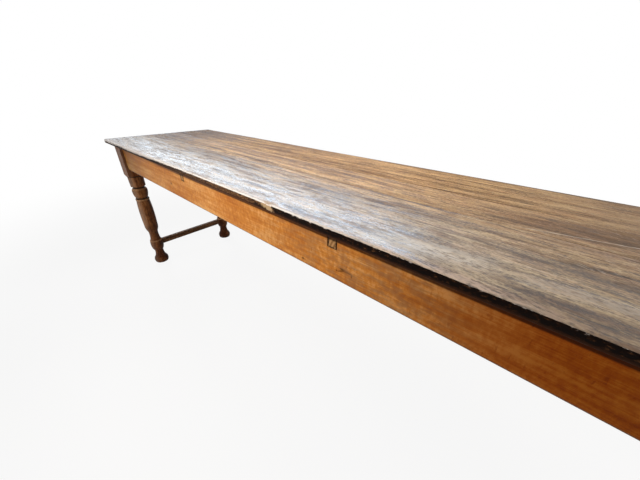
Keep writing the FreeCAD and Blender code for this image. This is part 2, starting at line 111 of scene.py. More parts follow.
# Wear of the boards: depth in metres, waves per metre along them and the other way, and its part of the noise
HOLLOW, HOLLOW_WAVES = 0.0009, (1.7, 6.0)
RIPPLE, RIPPLE_WAVES, RIPPLE_SEED = 0.0003, (9.0, 55.0), 5.0
EDGE_WEAR, EDGE_WAVES, EDGE_SEED = 0.0028, (11.0, 40.0), 9.0

# Wear of the outer edges: where along them it is strong, how far it reaches, and the share that lowers them
STRONG_WAVES, STRONG_SEED = (3.0, 0.0), 14.0
EDGE_REACH = 0.014
EDGE_DROP = 0.6

# Old chip in the front edge: middle and half length along the table, depth, middle height, half height,
# slant, and its ragged outline by the distance in half sizes
CHIP_MIDDLE = -0.174
CHIP_HALF = 0.026
CHIP_DEPTH = 0.0045
CHIP_HEIGHT = TOP_LOW.z + 0.011
CHIP_RISE = 0.008
CHIP_SLANT = 0.5
CHIP_RAGGED = 1.6
CHIP_REACH = (1.9, 1.4)

# Materials of a board's faces in their order, and how far up or down an upper or under face looks
UPPER, SIDE, UNDER = range(3)
UPPER_TILT = 0.55
UNDER_TILT = -0.95

# In the values of materials that follow, a noise is given by its waves per metre and a streak by its length
# and width in metres, with the noise's detail and roughness after that where they are not the usual ones. A
# change is given by where it begins and ends, in metres or in values of a noise, and by its strength at both,
# or else it goes from 0 to 1. A value called ragged is the share of a noise that is added to make it so.

# Usual detail and roughness of a noise, and the range that most of its values lie in
DETAIL, ROUGH = 3.0, 0.55
MOST = (0.35, 0.65)

# Axes of the frame in the order of a wood whose grain runs along one of them, and the drift of the grain
GRAIN_ORDER = {"X": (0, 1, 2), "Y": (1, 0, 2), "Z": (2, 0, 1)}
DRIFT = ((1.6, 3.0, 3.0), 1.0)

# Figure of the top: its layers, their shares in its tone, relief and polish, and how far its grain drifts
TOP_LAYERS = {
    "broad": (0.2, 0.02),
    "medium": (0.05, 0.008),
    "fine": (0.06, 0.0022, 2.0),
    "flecks": (0.014, 0.0045, 3.0, 0.65),
    "pores": (0.06, 0.0016, 1.0),
}
GRIT = (0.005, 0.0025, 2.0)
PORE_CUT = (0.6, 0.72)
TONE_SHARES = {"broad": 0.2, "medium": 0.2, "fine": 0.12, "flecks": 0.25, "grit": 0.23}
RELIEF_SHARES = {"broad": 0.2, "medium": 0.35, "fine": 0.3, "flecks": 0.25, "grit": 0.05, "pores": -0.15}
POLISH_SHARES = {"flecks": 0.4, "medium": 0.3, "broad": 0.3}
TOP_RELIEF = 0.0006
TOP_SWAY = 0.02

# Long streaks of the top's left part and patches of another hue, each with its offset in the wood
LONG_STREAK, LONG_OFFSET = (0.5, 0.026, 2.0), (6.0, 1.0, 2.0)
LONG_CUT = (0.36, 0.64)
LONG_SPAN = (0.3, -0.2)
HUE_STREAK, HUE_OFFSET = (0.07, 0.014), (4.0, 2.0, 7.0)
HUE_CUT = (0.46, 0.58)

# Grey bands of the top: two sizes of them, their shares, and how they weaken toward the rear
WIDE_BAND, WIDE_OFFSET = (0.17, 0.02), (9.0, 5.0, 3.0)
NARROW_BAND, NARROW_OFFSET = (0.06, 0.011), (2.0, 8.0, 1.0)
BAND_SHARES = {"wide": 0.38, "narrow": 0.32, "flecks": 0.3}
BAND_CUT = (0.48, 0.57)
BAND_REAR = (0.0, 1.0, 0.85, 0.4)

# Scuffs of the top: their size, turn from the grain and strength, and the patches that they lie in
SCUFF = (0.016, 0.0016, 2.0)
SCUFF_TURN = math.radians(24)
SCUFF_CUT = (0.58, 0.7, 0.0, 0.5)
SCUFF_PATCHES = (0.42, 0.56)

# Changes over the top: across it to the rear's wood, along it, and how some depend on the rear's share
REAR_BAND = (-0.06, 0.15)
REAR_RAGGED = 0.2
# Grey spans: a painted cast of the sheen at the left end; near and far spans: painted shade
GREY_SPAN = (0.1, -0.6, 0.0, 0.6)
GREY_REAR = (0.0, 0.8, 1.0, 0.1)
NEAR_SPAN = (0.25, 0.5, 0.0, 0.6)
WARM_SPAN = (0.28, 0.42)
WARM_REAR = (0.4, 0.0)
HAZE_SPAN = (0.05, 0.55, 0.0, 0.4)
HAZE_REAR = (0.2, 0.9)
FAR_SPAN = (-0.95, -1.4)
FAR_REAR = (0.2, 0.8)

# Roughness of the top: by its polish, what the grey bands add, where the dullness of the rear begins and is
# full, and what that adds from the middle to the left end
POLISH = (0.42, 0.58, 0.22, 0.36)
BAND_ROUGHNESS = 0.15
DULL_BAND = (-0.2, 0.0)
DULL_RAGGED = 0.1
DULL_SPAN = (-0.7, -1.3, 0.33, 0.26)

# Relief of the top, which is rubbed smoother at the left end
SMOOTH_SPAN = (-1.4, -0.8, 0.35, 1.0)

# Rims of the top: bands along its front with their changes along it, a dark band along its other edges, and
# the share of the distance from an end that counts for that
RIM_BAND = (TOP_LOW.y + 0.026, TOP_LOW.y + 0.005)
RIM_SPAN = (0.5, 0.25, 0.15, 0.75)
RIM_CUT = (0.4, 0.6)
# Band, raggedness and span of the painted highlight along the front arris
ARRIS_BAND = (TOP_LOW.y + 0.018, TOP_LOW.y + 0.014)
ARRIS_RAGGED = 0.02
ARRIS_SPAN = (0.2, -0.15, 0.1, 0.9)
# Band and span of the painted shade on the front arris at the right
DIM_BAND = (TOP_LOW.y + 0.016, TOP_LOW.y + 0.004, 0.0, 0.9)
DIM_SPAN = (0.33, 0.46)
DARK_BAND = (0.022, 0.006, 0.0, 0.75)
DARK_END = 0.5

# Dark streaks in the top: both ends along and across the table, half width, and how dark
STREAKS = [
    (-0.05, 0.088, 0.31, 0.104, 0.0045, 0.75),
    (-0.12, 0.04, -0.03, 0.038, 0.006, 0.5),
    (-0.37, -0.053, -0.12, -0.053, 0.008, 0.5),
    (-0.09, -0.049, 0.19, -0.054, 0.0035, 0.8),
    (0.03, -0.08, 0.14, -0.08, 0.006, 0.6),
    (-0.23, -0.155, -0.1, -0.156, 0.008, 0.5),
    (0.03, -0.188, 0.1, -0.187, 0.005, 0.6),
    (0.155, -0.16, 0.265, -0.151, 0.005, 0.65),
    (0.36, -0.138, 0.6, -0.105, 0.005, 0.9),
    (0.15, -0.02, 0.8, 0.1, 0.06, 0.8),
    (0.27, -0.06, 0.6, -0.05, 0.018, 0.5),
    (0.3, -0.165, 0.75, -0.12, 0.03, 0.85),
    (0.29, -0.27, 0.62, -0.252, 0.02, 0.9),
    (-0.9, 0.15, -0.5, 0.16, 0.02, 0.45),
]

# Half width above which such a streak is a paler grey
GREYER_WIDTH = 0.01

# Pale scratches in the top, in the same form
SCRATCHES = [
    (0.25, -0.0445, 0.56, 0.03, 0.0022, 0.8),
    (0.06, -0.266, 0.32, -0.222, 0.03, 0.75),
    (0.13, -0.24, 0.166, -0.14, 0.0016, 0.5),
    (0.24, -0.2, 0.42, -0.187, 0.0014, 0.5),
    (-0.42, -0.12, -0.2, -0.108, 0.002, 0.5),
    (0.3, -0.235, 0.52, -0.208, 0.02, 0.4),
]
SCRATCH_CUT = (0.4, 0.58, 0.3, 1.0)

# Sides and ends of those lines: distance in half widths, and the share of the length that fades
LINE_REACH = (1.6, 0.7)
LINE_RAGGED = 0.9
LINE_FADE = 0.25

# Narrow sides of the top: specks and stains, the brown stretch, the band along the underside, a painted
# sheen along the upper arris that reaches further down toward the left end, and the finish
SPECKS = ((110.0, 160.0, 240.0), 3.0, 0.65)
STAINS = ((14.0, 14.0, 60.0),)
BROWN_FROM = (-0.75, -0.1)
BROWN_TO = (0.1, 0.02)
BROWN_RAGGED = 0.5
BROWN_MOST = 0.6
UNDER_BAND = (TOP_LOW.z + 0.004, TOP_LOW.z, 0.0, 0.9)
UNDER_RAGGED = -0.006
EDGE_SHEEN_SPAN = (-0.4, -1.2)
EDGE_SHEEN_SHARES = {"height": 1.0, "left": 0.008, "stains": 0.012, "specks": 0.012}
EDGE_SHEEN_BAND = (TOP_HIGH.z + 0.0085, TOP_HIGH.z + 0.0105)
SIDE_ROUGHNESS = (0.5, 0.7)
SIDE_GLOSS = 0.04
SIDE_RELIEF = 0.0012

# Figure of the aprons: its layers, their shares in tone and relief, how far the grain drifts, and the finish
FINE_GRAIN = (0.06, 0.002)
PINE_BROAD = (0.22, 0.05)
PINE_RINGS = (0.5, 0.01, 2.0)
PINE_MOTTLE = ((110.0, 60.0, 60.0), 4.0, 0.65)
PINE_DENTS = ((150.0, 45.0, 45.0), 2.0)
DENT_CUT = (0.63, 0.72, 0.0, 0.4)
PINE_SHARES = {"broad": 0.34, "rings": 0.22, "fine": 0.18, "mottle": 0.26}
PINE_RELIEF_SHARES = {"rings": 0.4, "fine": 0.4, "mottle": 0.2, "dents": -0.4}
PINE_SWAY = 0.01
PINE_ROUGHNESS = (0.36, 0.52)
PINE_GLOSS = 0.05
PINE_RELIEF = 0.0008

# Changes along the aprons: patches of smoke, the redder right part that is partly painted shade, the darker
# and greyer left end, and their lower arris
SMOKE_PATCHES = (0.04, 0.012, 3.0, 0.65)
SMOKE_CUT = (0.4, 0.62)
SMOKE_FROM = (-0.35, 0.05, 0.1, 0.55)
SMOKE_TO = (0.36, 0.2)
RED_AND_SHADE_SPAN = (0.06, 0.44)
LEFT_END_SPAN = (-1.0, -1.4)
LOW_ARRIS = (APRON_LOW.z + 0.005, APRON_LOW.z + 0.002, 0.0, 0.8)

# Painted shadow of the top's overhang on the apron: up the apron, and along it
CORNER_BAND = (APRON_HIGH.z - 0.0325, APRON_HIGH.z - 0.0285, 0.0, 0.9)
CORNER_SPAN = (-1.2, -0.6, 0.3, 1.0)

# Knots in the front apron: along the table, up, half length, half height and slope, in metres
KNOTS = [
    (0.037, 0.651, 0.011, 0.0052, -0.1),
    (0.029, 0.6472, 0.011, 0.003, 0.42),
    (0.031, 0.6522, 0.009, 0.003, 0.0),
    (0.049, 0.6503, 0.009, 0.0022, -0.1),
    (0.057, 0.6456, 0.0025, 0.0055, 0.0),
    (0.0155, 0.6432, 0.0025, 0.0025, 0.0),
    (-0.092, 0.629, 0.005, 0.004, 0.0),
    (-0.86, 0.66, 0.008, 0.005, 0.0),
    (0.92, 0.69, 0.012, 0.007, 0.0),
]

# Aprons: name of the material, direction of the grain, offset in the wood, and knots
APRONS = {
    "apron_front": ("front_pine", "X", (0.0, 0.0, 0.0), KNOTS),
    "apron_rear": ("rear_pine", "X", (5.0, 2.0, 0.3)),
    "apron_left": ("left_pine", "Y", (2.0, 3.0, 0.6)),
    "apron_right": ("right_pine", "Y", (8.0, 4.0, 0.1)),
}

# Outlines of the knots: what makes them ragged, and their ring and heart by the distance in half sizes
KNOT_NOISE = ((160.0, 160.0, 160.0), 2.0)
KNOT_RAGGED = 0.9
KNOT_RING_REACH = (2.6, 1.4, 0.0, 0.3)
KNOT_HEART_REACH = (1.6, 0.8, 0.0, 0.85)

# Offsets in the wood of the other pieces
LEG_OFFSET = (0.0, 0.0, 0.0)
RAIL_OFFSET = (1.0, 0.0, 0.0)
BEARER_OFFSET = (0.0, 0.0, 0.0)
BLOCK_OFFSET = (2.0, 0.0, 0.0)
UNDER_OFFSET = (4.0, 1.0, 0.0)

# Figure and finish of the dark wood of the legs and rails
DARK_BROAD = (0.2, 0.018)
DARK_WEAR = ((40.0, 60.0, 60.0), 4.0, 0.65)
DARK_SHARES = {"broad": 0.35, "fine": 0.35, "wear": 0.3}
DARK_ROUGHNESS = (0.4, 0.6)
DARK_GLOSS = 0.08
DARK_RELIEF = 0.0008

# Changes of the legs: outward and inward from their middle, and up them
GREY_OUTER_SIDE = (0.012, 0.034, 0.0, 0.55)
# Inward from the middle: painted shade on the inner sides
INNER_SIDE = (0.012, -0.03)
BLOCK_BAND = (0.568, 0.572)
ANKLE_BAND = (0.125, 0.085)
FOOT_BAND = (0.02, 0.045, 0.6, 1.0)
CUP_BAND = (0.29, 0.24)

# Grooves of a turned leg, with painted shade in them: height and half width, in metres
LEG_GROOVES = [
    (0.5705, 0.005),
    (0.5055, 0.0075),
    (0.4395, 0.0055),
]
GROOVE_STRENGTH = 0.85

# Pale rings of a turned leg, partly rubbed and partly a painted highlight on the arrises, in the same form
LEG_PALE_RINGS = [
    (0.495, 0.006),
    (0.431, 0.007),
    (0.155, 0.005),
]
RING_STRENGTH = 0.5

# Figure and finish of the bare wood under the table
BARE_BROAD = (0.6, 0.03)
BARE_FINE = (0.05, 0.002)
BARE_SHARES = {"broad": 0.6, "fine": 0.4}
BARE_ROUGHNESS = (0.55, 0.75)
BARE_GLOSS = 0.08
BARE_RELIEF = 0.0006

# Ends of the bearers: how far aside and below the heart of the year rings lies, how close the rings are, dirt
# in the joint, and how deep the end grain goes
HEART_ASIDE = 0.045
HEART_BELOW = 0.01
RING_WAVES = 700.0
RING_CUT = (-0.8, 0.9)
CRUMBS = ((130.0, 130.0, 130.0), 2.0)
CRUMB_RAGGED = 0.012
JOINT_DIRT = (0.0115, 0.006, 0.0, 0.95)
END_BAND = (BEARER_HIGH.y - 0.003, BEARER_HIGH.y - 0.001)

# Finish of the screws
RUST = ((300.0, 300.0, 300.0),)
RUST_ROUGHNESS = (0.4, 0.6, 0.4, 0.65)
STEEL_METAL = 0.9
STEEL_GLOSS = 0.5
STEEL_RELIEF = 0.0003

# Tones of the woods and of the steel, each at its place in the figure
FRONT_TONES = ((0.44, (0.13, 0.093, 0.07)), (0.5, (0.37, 0.272, 0.168)), (0.56, (0.57, 0.45, 0.3)))
REAR_TONES = ((0.44, (0.18, 0.104, 0.048)), (0.5, (0.5, 0.31, 0.142)), (0.56, (0.68, 0.465, 0.24)))
APRON_TONES = ((0.41, (0.38, 0.115, 0.016)), (0.5, (0.53, 0.205, 0.04)), (0.58, (0.68, 0.35, 0.12)))
LEG_TONES = ((0.41, (0.07, 0.023, 0.007)), (0.5, (0.2, 0.074, 0.023)), (0.6, (0.34, 0.15, 0.057)))
RAIL_TONES = ((0.41, (0.04, 0.018, 0.008)), (0.5, (0.1, 0.045, 0.019)), (0.6, (0.2, 0.095, 0.042)))
BARE_TONES = ((0.42, (0.24, 0.13, 0.05)), (0.5, (0.4, 0.24, 0.1)), (0.58, (0.54, 0.36, 0.18)))
STEEL_TONES = ((0.4, (0.22, 0.2, 0.18)), (0.6, (0.12, 0.07, 0.045)))

# Colours on the top
LONG_DARK = (0.74, 0.66, 0.58)
LONG_PALE = (1.34, 1.32, 1.3)
# Greyer, cooler tone toward the left end: a painted cast of the sheen there
LEFT_SHEEN_CAST = (0.72, 0.74, 0.8)
# Painted shade over the right part of the top
NEAR_PAINTED_SHADE = (0.72, 0.7, 0.69)
NEAR_WARM = (1.0, 0.96, 0.84)
HAZE = (0.28, 0.235, 0.2)
# Painted shade in the rear corner at the left end
FAR_PAINTED_SHADE = (0.46, 0.42, 0.39)
PINK = (1.0, 0.95, 0.97)
GREY_BAND = (0.42, 0.35, 0.32)
PORE = (0.3, 0.25, 0.24)
DARK_STREAK = (0.24, 0.2, 0.2)
PALE_SCUFF = (0.62, 0.55, 0.47)
PALE_RIM = (0.58, 0.43, 0.34)
# Painted highlight along the front arris
ARRIS_PAINTED_HIGHLIGHT = (0.84, 0.8, 0.76)
# Painted shade on the rounded front arris at the right
RIM_PAINTED_SHADE = (0.3, 0.22, 0.18)
DARK_RIM = (0.09, 0.07, 0.06)

# Colours on the top's narrow sides, and the two tones of them
EDGE_BLACK = (0.004, 0.002, 0.0015)
EDGE_DARK = (0.016, 0.007, 0.004)
EDGE_BROWN = (0.13, 0.06, 0.026)
EDGE_PALE = (0.36, 0.2, 0.1)
EDGE_UNDER = (0.035, 0.013, 0.006)
# Painted sheen on the upper arris of the narrow sides
EDGE_SHEEN = (0.64, 0.57, 0.53)
CHIP_WOOD = (0.44, 0.3, 0.17)
BLACK_TONES = ((0.5, EDGE_BLACK), (0.6, EDGE_DARK), (0.74, EDGE_BROWN))
BROWN_TONES = ((0.38, EDGE_BLACK), (0.5, EDGE_BROWN), (0.68, EDGE_PALE))

# Colours on the aprons and the ends of the bearers
RED_SHADE = (0.28, 0.066, 0.004)
# Redder wood and painted shade toward the right end
RED_AND_SHADE_TINT = (0.56, 0.32, 0.1)
SMOKE = (0.25, 0.13, 0.065)
# Darker, greyer tone toward the left end
LEFT_END_GREY = (0.53, 0.56, 0.58)
# Painted shadow of the top's overhang
OVERHANG_PAINTED_SHADOW = (0.06, 0.035, 0.022)
GREY_ARRIS = (0.16, 0.1, 0.065)
KNOT_HEART = (0.1, 0.042, 0.008)
KNOT_RING = (0.3, 0.1, 0.025)
END_DARK = (0.24, 0.12, 0.045)
END_PALE = (0.44, 0.245, 0.105)
# Dirt in the bearers' joints, and painted shade in the legs' grooves
GAP_DIRT_AND_GROOVE_SHADE = (0.02, 0.01, 0.005)

# Colours on the legs
# Greyer tone of the outer sides
LEG_OUTER_GREY = (0.15, 0.11, 0.08)
# Painted shade on the inner sides of the legs
INNER_PAINTED_SHADE = (0.38, 0.29, 0.25)
BLOCK_SHADE = (0.82, 0.7, 0.64)
ANKLE_SHADE = (0.72, 0.64, 0.62)
CUP_SHADE = (0.6, 0.56, 0.56)
# Pale rings, partly wear and partly painted highlight
RING_WEAR_AND_HIGHLIGHT = (0.36, 0.2, 0.1)


# Shader helpers

class Shader:
    """A material whose nodes are added and joined by short calls."""

    def __init__(self, name):
        self.material = bpy.data.materials.new(name)
        self.material.use_nodes = True
        self.nodes = self.material.node_tree.nodes
        self.links = self.material.node_tree.links
        self.surface = self.nodes["Principled BSDF"]

    def put(self, socket, value):
        if isinstance(value, bpy.types.NodeSocket):
            self.links.new(value, socket)
        elif socket.type == "RGBA":
            socket.default_value = (*value[:3], 1.0)
        else:
            socket.default_value = value

    def node(self, kind, inputs, **settings):
        made = self.nodes.new(kind)
        for name, value in settings.items():
            setattr(made, name, value)
        for key, value in inputs.items():
            self.put(made.inputs[key], value)
        return made

    def maths(self, operation, a, b=0.0):
        return self.node("ShaderNodeMath", {0: a, 1: b}, operation=operation).outputs[0]

    def times(self, a, b):
        return self.maths("MULTIPLY", a, b)

    def total(self, *weighted):
        """Sum of values, each times its weight."""
        result = None
        for value, weight in weighted:
            part = self.times(value, weight)
            result = part if result is None else self.maths("ADD", result, part)
        return result

    def weigh(self, layers, shares):
        """Sum of named layers, each times its share."""
        return self.total(*((layers[name], share) for name, share in shares.items()))

    def ragged(self, value, rough, share):
        """Value with a share of noise added, so that a limit set on it runs ragged."""
        return self.total((value, 1.0), (rough, share))

    def scale(self, vector, factors):
        return self.node("ShaderNodeVectorMath", {0: vector, 1: factors}, operation="MULTIPLY").outputs[0]

    def shift(self, vector, offset):
        return self.node("ShaderNodeVectorMath", {0: vector, 1: offset}, operation="ADD").outputs[0]

    def length(self, vector):
        return self.node("ShaderNodeVectorMath", {0: vector}, operation="LENGTH").outputs["Value"]

    def join(self, x, y, z):
        return self.node("ShaderNodeCombineXYZ", {0: x, 1: y, 2: z}).outputs[0]

    def split(self, vector):
        return self.node("ShaderNodeSeparateXYZ", {0: vector}).outputs

    def noise(self, point, waves, detail=DETAIL, rough=ROUGH):
        """Noise with that many waves per metre along each axis."""
        inputs = {"Vector": self.scale(point, waves), "Scale": 1.0, "Detail": detail, "Roughness": rough}
        return self.node("ShaderNodeTexNoise", inputs).outputs[0]

    def remap(self, value, low, high, to_low=0.0, to_high=1.0):
        """Smooth change from one strength to another while a value goes from low to high."""
        inputs = {"Value": value, "From Min": low, "From Max": high, "To Min": to_low, "To Max": to_high}
        return self.node("ShaderNodeMapRange", inputs, interpolation_type="SMOOTHSTEP").outputs[0]

    def mix(self, factor, a, b):
        return self.node("ShaderNodeMix", {0: factor, 6: a, 7: b}, data_type="RGBA").outputs[2]

    def shade(self, factor, colour, tint):
        """Colour times a tint, so that what is drawn in it still shows."""
        inputs = {0: factor, 6: colour, 7: tint}
        return self.node("ShaderNodeMix", inputs, data_type="RGBA", blend_type="MULTIPLY").outputs[2]

    def ramp(self, value, stops):
        """Colour that a value picks between colours at places from 0 to 1."""
        made = self.node("ShaderNodeValToRGB", {0: value})
        elements = made.color_ramp.elements
        while len(elements) < len(stops):
            elements.new(0.5)
        for element, (place, colour) in zip(elements, stops):
            element.position = place
            element.color = (*colour, 1.0)
        return made.outputs[0]

    def place(self):
        """Point of the surface in the table's own frame."""
        return self.nodes.new("ShaderNodeTexCoord").outputs["Object"]

    def bump(self, height, depth):
        return self.node("ShaderNodeBump", {"Strength": 1.0, "Distance": depth, "Height": height}).outputs[0]

    def finish(self, colour, roughness, specular, normal=None):
        self.put(self.surface.inputs["Base Color"], colour)
        self.put(self.surface.inputs["Roughness"], roughness)
        self.surface.inputs["Specular IOR Level"].default_value = specular
        if normal is not None:
            self.put(self.surface.inputs["Normal"], normal)
        return self.material


def grain_point(shader, along, offset):
    """Point in the wood: its first axis runs along the grain, and the offset picks another tree."""
    parts = shader.split(shader.place())
    first, second, third = (parts[index] for index in GRAIN_ORDER[along])
    return shader.shift(shader.join(first, second, third), offset)


def wander(shader, point, sway):
    """Grain that drifts from side to side by up to about that much, in metres."""
    drift = shader.noise(point, *DRIFT)
    aside = shader.times(shader.maths("SUBTRACT", drift, 0.5), 2 * sway)
    return shader.shift(point, shader.join(0.0, aside, aside))


def streaks(shader, point, length, width, detail=DETAIL, rough=ROUGH):
    """Noise drawn out along the grain, with features of about that length and width in metres."""
    return shader.noise(point, (1 / length, 1 / width, 1 / width), detail, rough)


# Narrow sides of the top

def edge_wood():
    """The top's narrow sides: black with old wax, brown with specks in one stretch, a painted sheen along the
    upper arris, and an old chip.
    """
    shader = Shader("edge_wood")
    along, across, height = shader.split(shader.place())
    specks = shader.noise(shader.place(), *SPECKS)
    stains = shader.noise(shader.place(), *STAINS)
    ragged = shader.ragged(along, stains, BROWN_RAGGED)
    stretch = shader.times(shader.remap(ragged, *BROWN_FROM), shader.remap(ragged, *BROWN_TO))
    black = shader.ramp(specks, BLACK_TONES)
    colour = shader.mix(shader.times(stretch, BROWN_MOST), black, shader.ramp(specks, BROWN_TONES))
    under = shader.remap(shader.ragged(height, specks, UNDER_RAGGED), *UNDER_BAND)
    colour = shader.mix(under, colour, EDGE_UNDER)
    # Painted sheen along the upper arris, reaching further down toward the left end
    left = shader.remap(along, *EDGE_SHEEN_SPAN)
    layers = {"height": height, "left": left, "stains": stains, "specks": specks}
    rubbed = shader.remap(shader.weigh(layers, EDGE_SHEEN_SHARES), *EDGE_SHEEN_BAND)
    colour = shader.mix(rubbed, colour, EDGE_SHEEN)
    in_front = shader.maths("LESS_THAN", across, 0.0)
    chipped = shader.times(chip_mark(shader, along, height, specks), in_front)
    colour = shader.mix(chipped, colour, CHIP_WOOD)
    roughness = shader.remap(specks, *MOST, *SIDE_ROUGHNESS)
    return shader.finish(colour, roughness, SIDE_GLOSS, shader.bump(specks, SIDE_RELIEF))


def chip_mark(shader, along, height, specks):
    """1 on the pale wood of the old chip in the edge: a ragged oval that runs down to the right."""
    aside = shader.times(shader.maths("SUBTRACT", along, CHIP_MIDDLE), 1 / CHIP_HALF)
    rise = shader.maths("SUBTRACT", shader.times(height, 1 / CHIP_RISE), CHIP_HEIGHT / CHIP_RISE)
    slanted = shader.total((rise, 1.0), (aside, CHIP_SLANT))
    away = shader.length(shader.join(aside, 0.0, slanted))
    return shader.remap(shader.ragged(away, specks, CHIP_RAGGED), *CHIP_REACH)


# Upper face of the top

def line_mark(shader, rough, line):
    """How far a point lies in a line drawn on the top, with ragged sides and faded ends, from 0 to 1."""
    x, y, end_x, end_y, half_width, strength = line
    along, across, _ = shader.split(shader.place())
    slope = (end_y - y) / (end_x - x)
    middle = shader.maths("ADD", shader.times(along, slope), y - slope * x)
    aside = shader.maths("ABSOLUTE", shader.maths("SUBTRACT", across, middle))
    reach = shader.total((aside, 1 / math.hypot(1, slope) / half_width), (rough, LINE_RAGGED))
    fade = LINE_FADE * (end_x - x)
    ends = shader.times(shader.remap(along, x, x + fade), shader.remap(along, end_x, end_x - fade))
    return shader.times(shader.remap(reach, *LINE_REACH, 0.0, strength), ends)


def board_lines(shader, colour, layers, sides):
    """The dark streaks and pale scratches that start between a board's two sides."""
    low, high = sides
    for line in STREAKS:
        _, y, _, _, half_width, _ = line
        if low < y <= high:
            tint = GREY_BAND if half_width > GREYER_WIDTH else DARK_STREAK
            colour = shader.shade(line_mark(shader, layers["medium"], line), colour, tint)
    for line in SCRATCHES:
        _, y, *_ = line
        if low < y <= high:
            broken = shader.remap(layers["flecks"], *SCRATCH_CUT)
            worn = shader.times(line_mark(shader, layers["medium"], line), broken)
            colour = shader.mix(worn, colour, PALE_SCUFF)
    return colour


def board_rims(shader, colour, flecks):
    """Pale rim along the front, with a painted highlight on its arris and painted shade on its right part,
    and dark rims along the rear and ends.
    """
    along, across, _ = shader.split(shader.place())
    front = shader.remap(across, *RIM_BAND, 0.0, shader.remap(along, *RIM_SPAN))
    colour = shader.mix(shader.times(front, shader.remap(flecks, *RIM_CUT)), colour, PALE_RIM)
    # Painted highlight along the front arris, strongest toward the left
    arris = shader.remap(shader.ragged(across, flecks, ARRIS_RAGGED), *ARRIS_BAND)
    colour = shader.mix(shader.times(arris, shader.remap(along, *ARRIS_SPAN)), colour, ARRIS_PAINTED_HIGHLIGHT)
    # Painted shade on the rounded front arris toward the right end
    dim = shader.times(shader.remap(across, *DIM_BAND), shader.remap(along, *DIM_SPAN))
    colour = shader.shade(dim, colour, RIM_PAINTED_SHADE)
    from_rear = shader.maths("SUBTRACT", REAR_SIDE, across)
    from_end = shader.maths("SUBTRACT", TOP_HIGH.x, shader.maths("ABSOLUTE", along))
    nearest = shader.maths("MINIMUM", from_rear, shader.times(from_end, DARK_END))
    return shader.mix(shader.remap(nearest, *DARK_BAND), colour, DARK_RIM)


def top_layers(shader, point, stretch):
    """Layers of the top's figure by their names, most of them drawn out by a board's own stretch."""
    layers = {"grit": streaks(shader, point, *GRIT)}
    for name, (length, *others) in TOP_LAYERS.items():
        layers[name] = streaks(shader, point, length * stretch, *others)
    layers["pores"] = shader.remap(layers["pores"], *PORE_CUT)
    return layers


def top_figure(shader, point, layers, rear):
    """Tan and grey figure of the top, with long dark and pale streaks in its left part."""
    along, _, _ = shader.split(shader.place())
    tone = shader.weigh(layers, TONE_SHARES)
    wood = shader.mix(rear, shader.ramp(tone, FRONT_TONES), shader.ramp(tone, REAR_TONES))
    long_streaks = streaks(shader, shader.shift(point, LONG_OFFSET), *LONG_STREAK)
    tint = shader.mix(shader.remap(long_streaks, *LONG_CUT), LONG_DARK, LONG_PALE)
    return shader.shade(shader.remap(along, *LONG_SPAN), wood, tint)


def top_shades(shader, colour, rear):
    """Figure with a painted cast of the sheen at the left, painted shade, warmth and haze toward the right,
    and painted shade in the far corner.
    """
    along, _, _ = shader.split(shader.place())
    # Painted cast of the sheen: greyer and cooler toward the left end, mostly at the front
    grey = shader.times(shader.remap(along, *GREY_SPAN), shader.remap(rear, *GREY_REAR))
    colour = shader.shade(grey, colour, LEFT_SHEEN_CAST)
    # Painted shade over the right part
    colour = shader.shade(shader.remap(along, *NEAR_SPAN), colour, NEAR_PAINTED_SHADE)
    warm = shader.times(shader.remap(along, *WARM_SPAN), shader.remap(rear, *WARM_REAR))
    colour = shader.shade(warm, colour, NEAR_WARM)
    haze = shader.times(shader.remap(along, *HAZE_SPAN), shader.remap(rear, *HAZE_REAR))
    colour = shader.mix(haze, colour, HAZE)
    # Painted shade in the rear corner at the left end
    corner = shader.times(shader.remap(along, *FAR_SPAN), shader.remap(rear, *FAR_REAR))
    return shader.shade(corner, colour, FAR_PAINTED_SHADE)


def grey_bands(shader, point, flecks, rear):
    """Where the top has gone grey, in ragged bands along the grain, fewer toward the rear."""
    bands = {
        "wide": streaks(shader, shader.shift(point, WIDE_OFFSET), *WIDE_BAND),
        "narrow": streaks(shader, shader.shift(point, NARROW_OFFSET), *NARROW_BAND),
        "flecks": flecks,
    }
    ragged = shader.weigh(bands, BAND_SHARES)
    return shader.times(shader.remap(ragged, *BAND_CUT), shader.remap(rear, *BAND_REAR))


def scuffs(shader, point, patches):
    """Short pale rubs that cross the grain at a slant, in patches, from 0 to 1."""
    turn = {"Vector": point, "Angle": SCUFF_TURN}
    slanted = shader.node("ShaderNodeVectorRotate", turn, rotation_type="Z_AXIS").outputs[0]
    rubs = shader.remap(streaks(shader, slanted, *SCUFF), *SCUFF_CUT)
    return shader.times(rubs, shader.remap(patches, *SCUFF_PATCHES))


def top_roughness(shader, layers, bands):
    """Patchy polish of the top, duller in its grey bands and toward the rear."""
    along, across, _ = shader.split(shader.place())
    polish = shader.remap(shader.weigh(layers, POLISH_SHARES), *POLISH)
    dullest = shader.remap(along, *DULL_SPAN)
    dull = shader.remap(shader.ragged(across, layers["broad"], DULL_RAGGED), *DULL_BAND, 0.0, dullest)
    return shader.total((polish, 1.0), (bands, BAND_ROUGHNESS), (dull, 1.0))


